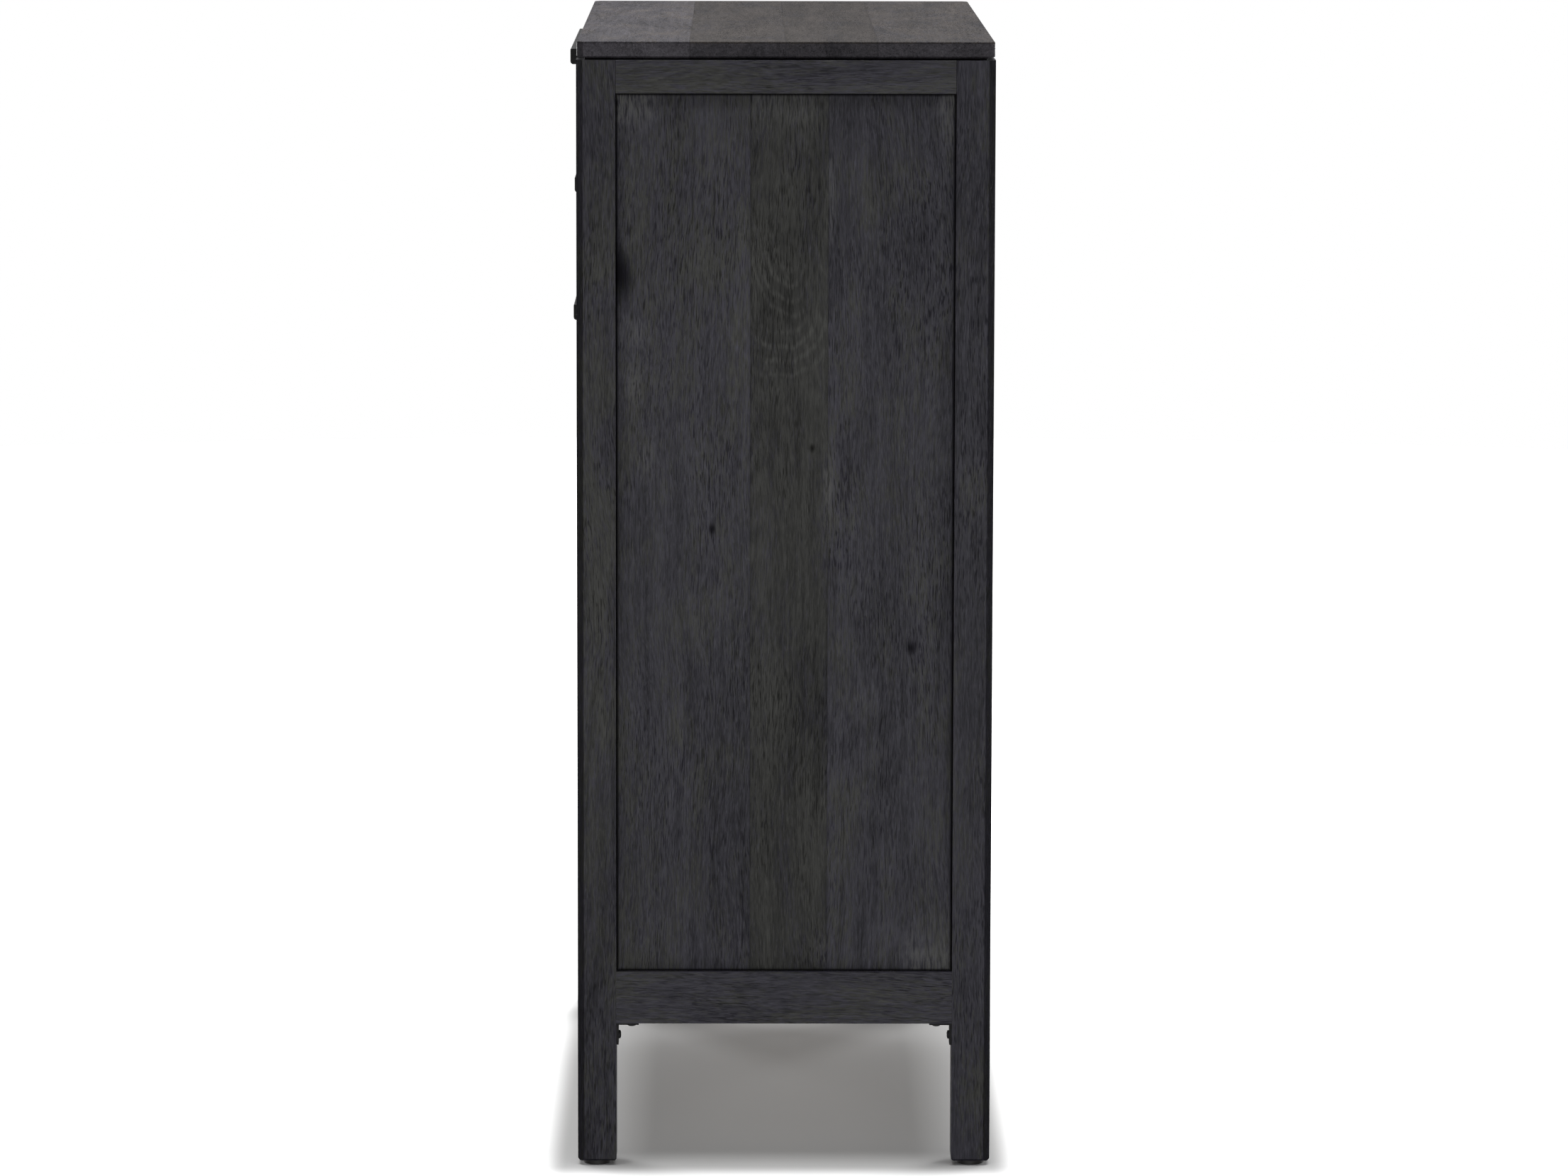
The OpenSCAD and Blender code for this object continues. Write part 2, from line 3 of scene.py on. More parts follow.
import bmesh
import bpy
from mathutils import Matrix, Vector


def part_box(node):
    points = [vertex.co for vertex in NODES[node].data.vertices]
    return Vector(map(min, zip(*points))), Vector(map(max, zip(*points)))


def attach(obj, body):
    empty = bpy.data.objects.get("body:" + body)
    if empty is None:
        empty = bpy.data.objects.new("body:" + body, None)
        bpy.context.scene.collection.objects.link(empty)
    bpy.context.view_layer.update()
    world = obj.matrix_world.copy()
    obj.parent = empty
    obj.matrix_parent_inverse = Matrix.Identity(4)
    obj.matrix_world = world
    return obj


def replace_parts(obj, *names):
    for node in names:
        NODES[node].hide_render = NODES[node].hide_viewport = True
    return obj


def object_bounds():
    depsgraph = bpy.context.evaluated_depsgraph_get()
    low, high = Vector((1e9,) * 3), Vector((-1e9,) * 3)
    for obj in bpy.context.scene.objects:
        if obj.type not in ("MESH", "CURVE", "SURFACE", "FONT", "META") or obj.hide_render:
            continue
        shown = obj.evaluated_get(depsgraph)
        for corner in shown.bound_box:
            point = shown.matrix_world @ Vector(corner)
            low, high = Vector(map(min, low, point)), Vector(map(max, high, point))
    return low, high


# An apothecary cabinet, dressed around its CAD frame: dark stained wood outside, plain wood inside, black
# iron pulls and brackets, and aged brass card frames with blank cards. Lengths are in metres.

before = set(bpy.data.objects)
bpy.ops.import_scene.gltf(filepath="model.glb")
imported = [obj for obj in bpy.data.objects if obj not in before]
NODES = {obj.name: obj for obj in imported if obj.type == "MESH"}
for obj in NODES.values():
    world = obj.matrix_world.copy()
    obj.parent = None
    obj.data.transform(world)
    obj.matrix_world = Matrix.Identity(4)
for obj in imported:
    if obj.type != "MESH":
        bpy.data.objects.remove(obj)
CAD_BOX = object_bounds()
SCENE = bpy.context.scene
MM = 0.001
AXES = "XYZ"
SIDES = ("right", "left")
DRAWERS = ("top_drawer", "middle_drawer", "bottom_drawer")

# ------------------------------------------------------------------ node trees


class Net:
    """A material's node tree, built with short calls. Each value is a socket or a constant."""

    def __init__(self, name):
        self.mat = bpy.data.materials.new(name)
        self.mat.use_nodes = True
        self.tree = self.mat.node_tree
        self.tree.nodes.clear()
        out = self.node("ShaderNodeOutputMaterial")
        self.bsdf = self.node("ShaderNodeBsdfPrincipled")
        self.put(self.bsdf.outputs[0], out.inputs[0])
        self.obj = self.node("ShaderNodeTexCoord").outputs["Object"]

    def put(self, value, socket):
        if hasattr(value, "is_output"):
            self.tree.links.new(value, socket)
        else:
            socket.default_value = value

    def node(self, kind, **props):
        n = self.tree.nodes.new(kind)
        for key, value in props.items():
            setattr(n, key, value)
        return n

    def fill(self, n, *values):
        """Puts the values into a node's first inputs and gives its first output."""
        for value, socket in zip(values, n.inputs):
            self.put(value, socket)
        return n.outputs[0]

    def math(self, op, a, b=0.0, clamp=False):
        return self.fill(self.node("ShaderNodeMath", operation=op, use_clamp=clamp), a, b)

    def add(self, first, *rest):
        for value in rest:
            first = self.math("ADD", first, value)
        return first

    def mul(self, first, *rest):
        for value in rest:
            first = self.math("MULTIPLY", first, value)
        return first

    def sub(self, a, b):
        return self.math("SUBTRACT", a, b)

    def apart(self, a, b):
        """How far apart two values are."""
        return self.math("ABSOLUTE", self.sub(a, b))

    def swing(self, value, amount):
        """A value from 0 to 1, turned into one that swings both ways about zero."""
        return self.mul(self.sub(value, 0.5), amount)

    def length(self, x, y):
        return self.math("SQRT", self.add(self.mul(x, x), self.mul(y, y)))

    def vmath(self, op, a, b):
        n = self.node("ShaderNodeVectorMath", operation=op)
        self.put(a, n.inputs[0])
        self.put(b, n.inputs["Scale"] if op == "SCALE" else n.inputs[1])
        return n.outputs[0]

    def noise(self, vec, scale=1.0, detail=2.0, rough=0.5, out=0):
        """Noise texture. out is 0 for its value and 1 for its colour."""
        n = self.node("ShaderNodeTexNoise")
        self.put(vec, n.inputs["Vector"])
        n.inputs["Scale"].default_value = scale
        n.inputs["Detail"].default_value = detail
        n.inputs["Roughness"].default_value = rough
        return n.outputs[out]

    def remap(self, value, lo, hi, a=0.0, b=1.0):
        """A smooth step from a, where the value is lo, to b, where it is hi."""
        n = self.node("ShaderNodeMapRange", interpolation_type="SMOOTHSTEP")
        return self.fill(n, value, lo, hi, a, b)

    def lines(self, field, count, lo, hi, a=0.0, b=1.0):
        """Contour lines of a field, count of them to each unit."""
        return self.remap(self.math("PINGPONG", self.mul(field, count), 0.5), lo, hi, a, b)

    def mix(self, fac, a, b, blend="MIX"):
        n = self.node("ShaderNodeMix", data_type="RGBA", blend_type=blend)
        self.put(fac, n.inputs[0])
        self.put(a, n.inputs[6])
        self.put(b, n.inputs[7])
        return n.outputs[2]

    def scaled(self, color, gain):
        return self.mix(1.0, color, self.join(gain, gain, gain), "MULTIPLY")

    def split(self, vec):
        n = self.node("ShaderNodeSeparateXYZ")
        self.put(vec, n.inputs[0])
        return n.outputs

    def join(self, x, y, z):
        return self.fill(self.node("ShaderNodeCombineXYZ"), x, y, z)

    def bump(self, height, distance, strength):
        n = self.node("ShaderNodeBump")
        n.inputs["Strength"].default_value = strength
        n.inputs["Distance"].default_value = distance
        self.put(height, n.inputs["Height"])
        self.put(n.outputs[0], self.bsdf.inputs["Normal"])

    def set(self, **values):
        for key, value in values.items():
            self.put(value, self.bsdf.inputs[key.replace("_", " ")])


def rgb(r, g, b):
    return (r, g, b, 1.0)


# ------------------------------------------------------------------ wood


class Wood(Net):
    """Boards of wood: coordinates that run with the grain, wander with it, and jump at each seam.

    steps is each board's own shift, skew is how much of it goes across and along, squeeze shortens the slow
    noises along the grain, and drifts are the (scale, amount) of the grain's wandering."""

    def __init__(self, name, grain, seams, across, steps, skew, squeeze, drifts):
        super().__init__(name)
        self.seams = seams
        self.xyz = self.split(self.obj)
        self.coord = self.xyz[AXES.index(across)]
        self.along = self.xyz[AXES.index(grain)]
        u, v = [self.xyz[i] for i in range(3) if AXES[i] != grain]
        shift = self.boards(steps)
        a = self.add(u, shift)
        b = self.add(v, self.mul(shift, skew[0]))
        c = self.add(self.along, self.mul(shift, skew[1]))
        self.base = self.join(a, b, self.mul(c, squeeze))
        place = self.join(a, b, c)
        for scale, amount in drifts:
            push = self.vmath("SUBTRACT", self.noise(self.base, scale, out=1), (0.5, 0.5, 0.5))
            place = self.vmath("ADD", place, self.vmath("SCALE", push, amount))
        self.place = self.split(place)

    def boards(self, values):
        """One value for each board, in the order that the seams part them."""
        total = values[0]
        for seam, low, high in zip(self.seams, values, values[1:]):
            total = self.add(total, self.mul(self.math("GREATER_THAN", self.coord, seam), high - low))
        return total

    def fibres(self, across, along, detail=2.0, rough=0.5, out=0):
        """Noise with so many cells to the metre across the grain and along it."""
        x, y, z = self.place
        spot = self.join(self.mul(x, across), self.mul(y, across), self.mul(z, along))
        return self.noise(spot, 1.0, detail, rough, out)

    def radial(self, across, along, half_width, half_length):
        """Distance from a point of the board, 1 at the given half width and half length."""
        dx = self.math("DIVIDE", self.sub(self.coord, across), half_width)
        dy = self.math("DIVIDE", self.sub(self.along, along), half_length)
        return self.length(dx, dy)


def spread(count, seed, lo, hi):
    """Even-looking values for boards, always the same for one seed."""
    return [lo + (hi - lo) * ((seed * 0.7548 + k * 0.5698) % 1.0) for k in range(count)]


# the stain's hues: violet and olive on most pieces, ash and brown on the top board, lighter than the others
# as painted sheen
VIOLET = (0.0188, 0.0174, 0.0274)
OLIVE = (0.0188, 0.0187, 0.0160)
BROWN = (0.0255, 0.0218, 0.0205)
ASH = (0.0228, 0.0212, 0.0245)
WORN_STAIN = rgb(0.030, 0.030, 0.028)

# cells to the metre across and along the grain, detail and roughness of the stain's noises
GRAIN_NOISES = {
    "broad": (30.0, 3.2, 2.0, 0.5),
    "patch": (36.0, 13.0, 3.0, 0.6),
    "streak": (170.0, 9.0, 3.0, 0.6),
    "dash": (560.0, 62.0, 3.0, 0.62),
    "fibre": (1400.0, 34.0, 2.0, 0.6),
}
# how far each noise lightens and darkens the stain, and moves it between its two hues
TONE_SWINGS = {
    "dash": 1.15,
    "streak": 0.9,
    "fibre": 1.0,
    "dots": 1.0,
    "broad": 0.8,
    "mottle": 1.0,
    "patch": 0.7,
}
HUE_SWINGS = {"patch": 2.4, "mottle": 1.4, "hue_dots": 2.4}
RING_GAIN, FLECK_GAIN, SWIRL_GAIN, WORN_GAIN = 0.18, 0.28, 0.55, 1.3
PORE_SHADE, KNOT_SHADE = 0.36, 0.72
CHAMFER_W = 0.0058


def stain_fields(wood):
    """The noises that the stain's colour, gloss and relief are mixed from, by name."""
    fields = {name: wood.fibres(*cells) for name, cells in GRAIN_NOISES.items()}
    fields["mottle"] = wood.noise(wood.base, 15.0, 4.0, 0.62)
    dots = wood.split(wood.fibres(520.0, 84.0, out=1))
    fields["hue_dots"], fields["dots"] = dots[0], dots[1]
    # growth rings are the contours of a long smooth field, faint and only here and there
    rings = wood.lines(wood.fibres(7.5, 1.35, 1.0, 0.35), 30.0, 0.03, 0.47, -0.5, 0.5)
    fields["ring"] = wood.mul(rings, wood.remap(wood.fibres(6.0, 1.6), 0.46, 0.64))
    fields["fleck"] = wood.remap(wood.fibres(700.0, 120.0, 1.0, 0.4), 0.58, 0.70)
    pores = wood.remap(wood.fibres(1000.0, 72.0, 1.0, 0.4), 0.57, 0.67)
    fields["pore"] = wood.mul(pores, wood.remap(wood.fibres(24.0, 6.0), 0.34, 0.66, 0.2, 1.0))
    return fields


def swirl_lines(wood, fields, swirls):
    """Pale broken arcs round each swirl, clearest below it, and how much its middle quietens the wood."""
    arcs, hush = 0.0, 1.0
    for across, along, half_width, half_length in swirls:
        d = wood.add(wood.radial(across, along, half_width, half_length), wood.swing(fields["mottle"], 0.75))
        arc = wood.lines(d, 4.6, 0.18, 0.50)
        zone = wood.mul(wood.remap(d, 0.35, 0.70), wood.remap(d, 1.55, 1.00))
        top, bottom = along + half_length * 0.45, along - half_length * 0.55
        below = wood.remap(wood.along, top, bottom, 0.12, 1.0)
        broken = wood.mul(wood.remap(fields["dash"], 0.34, 0.60, 0.10, 1.3),
                          wood.remap(fields["patch"], 0.36, 0.62, 0.25, 1.25))
        arcs = wood.add(arcs, wood.mul(arc, zone, below, broken))
        hush = wood.mul(hush, wood.remap(d, 0.75, 0.1, 1.0, 0.80))
    return arcs, hush


def knot_marks(wood, fields, knots):
    """Dark spots, each 1 in its middle and ragged at its rim."""
    marks = 0.0
    for across, along, radius in knots:
        d = wood.add(wood.radial(across, along, radius, radius * 1.6), wood.swing(fields["patch"], 1.3))
        marks = wood.math("MAXIMUM", marks, wood.remap(d, 1.45, 0.0))
    return marks


def worn_marks(wood, fields, rubs):
    """Patches where the stain is rubbed thin, broken up by the grain."""
    marks = 0.0
    for across, along, half_width, half_length, strength in rubs:
        d = wood.add(wood.radial(across, along, half_width, half_length), wood.swing(fields["patch"], 1.5))
        spot = wood.mul(wood.remap(d, 1.1, 0.0), wood.remap(fields["dash"], 0.36, 0.62, 0.1, 1.2), strength)
        marks = wood.math("MAXIMUM", marks, spot)
    return marks


def opening_edge(wood, opening):
    """Distance from the nearest edge of the opening in which a side panel shows."""
    lo, hi = opening
    gaps = []
    for i, low, high in zip((1, 2), lo, hi):
        gaps.append(wood.math("MINIMUM", wood.sub(wood.xyz[i], low), wood.sub(high, wood.xyz[i])))
    return wood.math("MINIMUM", *gaps)


def stain_marks_and_painted_shade(wood, knot, opening, arris, face_z):
    """What darkens the stain: knots and seams, and painted shade in the groove round a panel, on the
    chamfers and along a board's upper arris.
    """
    shade = wood.sub(1.0, wood.mul(knot, KNOT_SHADE))
    for seam in wood.seams:
        shade = wood.mul(shade, wood.remap(wood.apart(wood.coord, seam), 0.2 * MM, 1.6 * MM, 0.86, 1.0))
    # painted shade round the panel: a dark line at its edge and a broad darkening towards it, for the shade
    # that the rails and posts cast into its recess
    if opening is not None:
        edge = opening_edge(wood, opening)
        shade = wood.mul(shade, wood.remap(edge, 0.2 * MM, 3.6 * MM, 0.10, 1.0))
        shade = wood.mul(shade, wood.remap(edge, 0.0, 18 * MM, 0.86, 1.0))
    # painted shade on the chamfers, which face away from the light
    if arris is not None:
        x, y, _ = wood.xyz
        reach = wood.add(wood.apart(wood.math("ABSOLUTE", x), arris[0]), wood.apart(y, arris[1]))
        shade = wood.mul(shade, wood.remap(reach, CHAMFER_W, CHAMFER_W + 1.2 * MM, 0.52, 1.0))
    # painted shade: a dark band along the upper arris, for the dim room that it reflects
    if face_z is not None:
        off_arris = wood.apart(wood.xyz[2], face_z - 0.8 * MM)
        shade = wood.mul(shade, wood.remap(off_arris, 0.6 * MM, 1.2 * MM, 0.55, 1.0))
    return shade


def stained_wood(name, grain, seed, seams=(), across="X", tints=None, tones=None, cool=VIOLET, warm=OLIVE,
                 dark=1.0, knots=(), swirls=(), rubs=(), opening=None, arris=None, face_z=None, gloss=0.32):
    """Dark charcoal stain on open-pored wood. The grain runs along one axis, and seams part it into boards.

    tints run from cool (0) to warm (1), one for each board, and tones are each board's brightness. dark
    scales both hues. knots are (across, along, radius), swirls are (across, along, half width, half length),
    and rubs are the same with a strength. opening is the ((y, z), (y, z)) of what shows of a side panel,
    which is darkened round its edge with painted shade. arris is the x and y of the corner whose chamfer is
    darkened with painted shade, on both sides of the cabinet. face_z is the height of a board's upper face:
    its arris gets a band of painted shade, and its edges keep to cool."""
    count = len(seams) + 1
    tints = tints or spread(count, seed, 0.15, 0.70)
    tones = tones or spread(count, seed * 1.7, 0.94, 1.07)
    steps = [seed * 7.31 + 3.713 * k for k in range(count)]
    wood = Wood(name, grain, seams, across, steps, (0.61, 1.83), 0.30, ((5.5, 0.055), (45.0, 0.0040)))
    fields = stain_fields(wood)
    arcs, hush = swirl_lines(wood, fields, swirls)
    worn = worn_marks(wood, fields, rubs)
    shade = stain_marks_and_painted_shade(wood, knot_marks(wood, fields, knots), opening, arris, face_z)

    hue = wood.add(wood.boards(tints), *[wood.swing(fields[part], k) for part, k in HUE_SWINGS.items()])
    if face_z is not None:
        hue = wood.sub(hue, wood.remap(wood.xyz[2], face_z - 1.2 * MM, face_z - 2.4 * MM))
    hues = [rgb(*(dark * k for k in ends)) for ends in (cool, warm)]
    color = wood.mix(wood.remap(hue, 0.0, 1.0), *hues)
    color = wood.mix(worn, color, WORN_STAIN)

    tone = wood.add(*[wood.swing(fields[part], k) for part, k in TONE_SWINGS.items()])
    tone = wood.add(tone, wood.mul(fields["ring"], RING_GAIN), wood.mul(fields["fleck"], FLECK_GAIN))
    tone = wood.add(tone, wood.mul(arcs, SWIRL_GAIN))
    gain = wood.mul(wood.add(1.0, tone), wood.boards(tones), hush)
    gain = wood.mul(gain, wood.sub(1.0, wood.mul(fields["pore"], PORE_SHADE)))
    gain = wood.add(gain, wood.mul(worn, WORN_GAIN))
    # shade carries the knots, the seams and the painted shade into the colour and the gloss
    gain = wood.mul(wood.math("MAXIMUM", gain, 0.10), shade)

    rough = wood.add(0.36, wood.mul(fields["mottle"], 0.12), wood.mul(fields["pore"], 0.25))
    rough = wood.add(rough, wood.mul(fields["dash"], 0.12))
    shine = wood.mul(shade, wood.remap(gain, 0.2, 1.6, 0.6, 1.3), gloss)
    wood.set(Base_Color=wood.scaled(color, gain), Roughness=rough, Specular_IOR_Level=shine)
    height = wood.add(wood.mul(fields["fibre"], 0.35), wood.mul(fields["dash"], 0.9))
    height = wood.add(height, wood.mul(fields["streak"], 0.6))
    wood.bump(wood.sub(height, fields["pore"]), 0.22 * MM, 0.60)
    return wood.mat


def plain_wood(name, grain, seed, seams=(), across="X"):
    """Clear-sealed plain wood inside the drawers and the cupboard."""
    count = len(seams) + 1
    steps = [seed * 5.17 + 2.971 * k for k in range(count)]
    wood = Wood(name, grain, seams, across, steps, (0.7, 1.4), 0.25, ((6.0, 0.03),))
    ring = wood.lines(wood.fibres(9.0, 1.1, 1.0, 0.3), 22.0, 0.02, 0.5)
    streak = wood.fibres(240.0, 5.0, 4.0, 0.6)
    pore = wood.remap(wood.fibres(1300.0, 80.0, 1.0, 0.4), 0.62, 0.74)
    mottle = wood.noise(wood.base, 9.0, 3.0, 0.55)
    depth = wood.add(wood.mul(ring, 0.40), wood.mul(streak, 0.42), wood.swing(mottle, 0.7))
    depth = wood.math("ADD", depth, wood.boards(spread(count, seed, 0.0, 0.22)), clamp=True)
    color = wood.mix(depth, rgb(0.43, 0.295, 0.165), rgb(0.285, 0.175, 0.088))
    color = wood.mix(wood.mul(pore, 0.5), color, rgb(0.12, 0.07, 0.035))
    wood.set(Base_Color=color, Roughness=wood.add(0.42, wood.mul(streak, 0.2)), Specular_IOR_Level=0.4)
    wood.bump(wood.sub(streak, wood.mul(pore, 0.9)), 0.16 * MM, 0.6)
    return wood.mat


def at_fractions(lo, size, fractions):
    """Where the seams are, from their fractions of a width."""
    return [lo + size * k for k in fractions]


# ------------------------------------------------------------------ metal, plastic and paper


def black_iron(name, seed=0.0, base=0.007):
    """Black paint over iron: fine cast texture, satin sheen, rubbed lighter here and there."""
    net = Net(name)
    spot = net.vmath("ADD", net.obj, (seed, seed * 0.7, seed * 1.3))
    cast = net.noise(spot, 900.0, 3.0, 0.6)
    soft = net.noise(spot, 70.0, 3.0, 0.6)
    pit = net.remap(net.noise(spot, 1700.0, 1.0), 0.66, 0.78)
    rub = net.mul(net.remap(soft, 0.52, 0.70), 0.45)
    color = net.mix(rub, rgb(base, base, base * 1.08), rgb(base * 2.6, base * 2.5, base * 2.5))
    rough = net.add(0.42, net.mul(soft, 0.2), net.mul(pit, 0.2))
    net.set(Base_Color=color, Roughness=rough, Specular_IOR_Level=0.25)
    height = net.sub(net.mul(cast, 0.7), net.mul(pit, 0.6))
    net.bump(net.add(height, net.mul(soft, 0.8)), 0.12 * MM, 0.5)
    return net.mat


def metal(name, bright, dull, rough):
    """Bare or aged metal with fine scratches and cloudy tarnish."""
    net = Net(name)
    cloud = net.noise(net.obj, 120.0, 4.0, 0.6)
    scratch = net.noise(net.vmath("MULTIPLY", net.obj, (3000.0, 200.0, 3000.0)))
    color = net.mix(net.remap(cloud, 0.38, 0.66), rgb(*bright), rgb(*dull))
    net.set(Base_Color=color, Roughness=net.add(rough, net.mul(cloud, 0.22)), Metallic=1.0)
    net.bump(net.add(scratch, cloud), 0.05 * MM, 0.35)
    return net.mat


def plastic(name, color):
    """Moulded plastic with a fine spark-eroded texture."""
    net = Net(name)
    grain = net.noise(net.obj, 2200.0)
    cloud = net.noise(net.obj, 60.0)
    gain = net.add(0.85, net.mul(cloud, 0.3))
    net.set(Base_Color=net.scaled(rgb(*color), gain), Roughness=net.add(0.5, net.mul(grain, 0.12)))
    net.bump(grain, 0.06 * MM, 0.5)
    return net.mat


def paper(name):
    """Blank cream card with a little foxing and fibre."""
    net = Net(name)
    fibre = net.noise(net.vmath("MULTIPLY", net.obj, (900.0, 900.0, 2600.0)), 1.0, 3.0, 0.6)
    fox = net.remap(net.noise(net.obj, 46.0, 4.0, 0.65), 0.52, 0.76)
    color = net.mix(net.mul(fox, 0.7), rgb(0.66, 0.58, 0.42), rgb(0.46, 0.35, 0.20))
    color = net.scaled(color, net.add(0.93, net.mul(fibre, 0.14)))
    net.set(Base_Color=color, Roughness=0.85, Specular_IOR_Level=0.2)
    net.bump(fibre, 0.04 * MM, 0.4)
    return net.mat


def steel(name, shade, rough):
    """Plain steel, darker where it is tarnished."""
    return metal(name, shade, tuple(0.6 * k for k in shade), rough)


IRON = black_iron("black_iron")
BRASS = metal("aged_brass", (0.30, 0.205, 0.105), (0.10, 0.075, 0.045), 0.34)
# screw heads, and a darker iron in their cross recesses: painted shade
SCREW_IRON = (black_iron("screw_iron", 2.0, 0.020), black_iron("screw_recess", 5.0, 0.004))
CARD_PAPER = paper("blank_card")

# ------------------------------------------------------------------ dressing the CAD nodes

FINE_EASE = 0.5  # mm, up to which an edge needs only two segments


def dress(node, material, ease=0.0):
    """Gives a CAD node its material, and edges softened by ease, in mm."""
    o = NODES[node]
    o.data.materials.clear()
    o.data.materials.append(material)
    if not ease:
        return
    weld = o.modifiers.new("weld", "WELD")
    weld.merge_threshold = 1e-6
    bevel = o.modifiers.new("ease", "BEVEL")
    bevel.width = ease * MM
    bevel.segments = 2 if ease <= FINE_EASE else 3
    bevel.limit_method = "ANGLE"
    bevel.angle_limit = math.radians(40.0)
    bevel.use_clamp_overlap = True
    bevel.harden_normals = False
    for poly in o.data.polygons:
        poly.use_smooth = True
    normals = o.modifiers.new("normals", "WEIGHTED_NORMAL")
    normals.keep_sharp = False
    normals.weight = 60


def dress_posts():
    posts = [(end, side) for end in ("front", "rear") for side in SIDES]
    for seed, (end, side) in enumerate(posts, 2):
        lo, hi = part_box(f"{end}_{side}_post")
        corner = (max(hi.x, -lo.x), lo.y if end == "front" else hi.y)
        # arris darkens the chamfer at the post's outer corner: painted shade
        wood = stained_wood(f"post_{end}_{side}", "Z", seed, tones=(0.90,), arris=corner)
        dress(f"{end}_{side}_post", wood, ease=0.9)


# A side panel's figure. Each mark starts with its fraction of the panel's width from the front and its
# fraction of the height from the top. Its sizes follow, as stained_wood takes them.
PANEL_SEAMS = (0.397, 0.626)
PANEL_SWIRLS = (
    (0.510, 0.165, 0.030, 0.062),
    (0.490, 0.230, 0.050, 0.064),
)
PANEL_KNOTS = (
    (0.009, 0.203, 0.017),
    (0.875, 0.628, 0.0045),
    (0.285, 0.492, 0.0035),
    (0.580, 0.400, 0.003),
)
PANEL_RUBS = (
    (0.000, 0.00, 0.050, 0.050, 1.0),
    (1.000, 0.00, 0.022, 0.085, 0.9),
    (1.000, 1.00, 0.060, 0.070, 0.8),
    (0.500, 0.00, 0.055, 0.050, 0.5),
    (0.635, 0.11, 0.008, 0.060, 0.5),
    (0.630, 0.45, 0.007, 0.060, 0.6),
    (0.061, 0.27, 0.022, 0.020, 0.38),
    (0.055, 0.33, 0.014, 0.035, 0.5),
    (0.091, 0.41, 0.014, 0.030, 0.4),
)


def dress_side(side, seed):
    """A side's two rails and its panel, which shows between them and the posts."""
    for k, end in enumerate(("top", "bottom")):
        dress(f"{side}_{end}_rail", stained_wood(f"rail_{side}_{end}", "Y", seed + k), ease=0.7)
    y0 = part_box(f"front_{side}_post")[1].y
    y1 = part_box(f"rear_{side}_post")[0].y
    z0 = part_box(f"{side}_bottom_rail")[1].z
    z1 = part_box(f"{side}_top_rail")[0].z
    width, height = y1 - y0, z1 - z0

    def placed(marks):
        return [(y0 + width * across, z1 - height * down, *size) for across, down, *size in marks]

    seams = at_fractions(y0, width, PANEL_SEAMS)
    # opening darkens the panel round its edge: painted shade
    wood = stained_wood(f"panel_{side}", "Z", seed + 2, seams=seams, across="Y", tints=(0.30, 0.95, 0.28),
                        tones=(1.0, 0.84, 0.97), knots=placed(PANEL_KNOTS), swirls=placed(PANEL_SWIRLS),
                        rubs=placed(PANEL_RUBS), opening=((y0, z0), (y1, z1)))
    dress(f"{side}_side_panel", wood)


def dress_top():
    lo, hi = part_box("top_board")
    seams = at_fractions(lo.y, hi.y - lo.y, (0.27, 0.50, 0.72))
    # The top's stain is lighter than the rest, by its ash and brown hues and dark=1.7: painted sheen, in
    # place of the bright reflection the top catches. arris and face_z add painted shade on the chamfers and
    # along the upper arris.
    wood = stained_wood("top", "X", 31, seams=seams, across="Y", tints=(0.25, 0.85, 0.95, 0.7),
                        tones=(1.35, 0.92, 0.84, 1.02), cool=ASH, warm=BROWN, dark=1.7, arris=(hi.x, lo.y),
                        face_z=hi.z, gloss=0.10)
    dress("top_board", wood, ease=1.4)


def dress_frame_rails_and_back():
    for seed, node in enumerate(("back_top_rail", "back_bottom_rail", "front_bottom_rail"), 41):
        dress(node, stained_wood(node, "X", seed), ease=0.8)
    for seed, node in enumerate(("front_top_rail", "upper_drawer_rail", "lower_drawer_rail"), 44):
        dress(node, stained_wood(node, "X", seed), ease=0.6)
    lo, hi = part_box("back_panel")
    seams = at_fractions(lo.x, hi.x - lo.x, (0.17, 0.36, 0.52, 0.68, 0.85))
    dress("back_panel", stained_wood("back_panel", "Z", 47, dark=0.95, seams=seams))


def dress_inside():
    """The cupboard's boards, the cleats and the runners."""
    for seed, node in enumerate(("cupboard_ceiling", "cupboard_floor", "cupboard_shelf"), 6):
        lo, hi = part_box(node)
        seams = at_fractions(lo.y, hi.y - lo.y, (0.31, 0.64))
        dress(node, plain_wood(node, "X", seed, seams=seams, across="Y"), ease=0.8)
    dress("drawer_runners", plain_wood("inner_wood_deep", "Y", 3), ease=0.6)
    dress("shelf_cleats", plain_wood("cleats", "Y", 9), ease=0.8)


def dress_drawer(drawer, number):
    dress(f"{drawer}_front", stained_wood(f"{drawer}_front", "X", 51 + 3 * number), ease=0.9)
    dress(f"{drawer}_walls", plain_wood(f"{drawer}_walls", "Y", 61 + number), ease=0.9)
    dress(f"{drawer}_bottom", plain_wood(f"{drawer}_bottom", "X", 64 + number))
    dress(f"{drawer}_dividers", plain_wood(f"{drawer}_dividers", "Y", 67 + number), ease=0.8)
    dress(f"{drawer}_pull", IRON, ease=0.6)
    dress(f"{drawer}_card_frames", BRASS, ease=0.4)


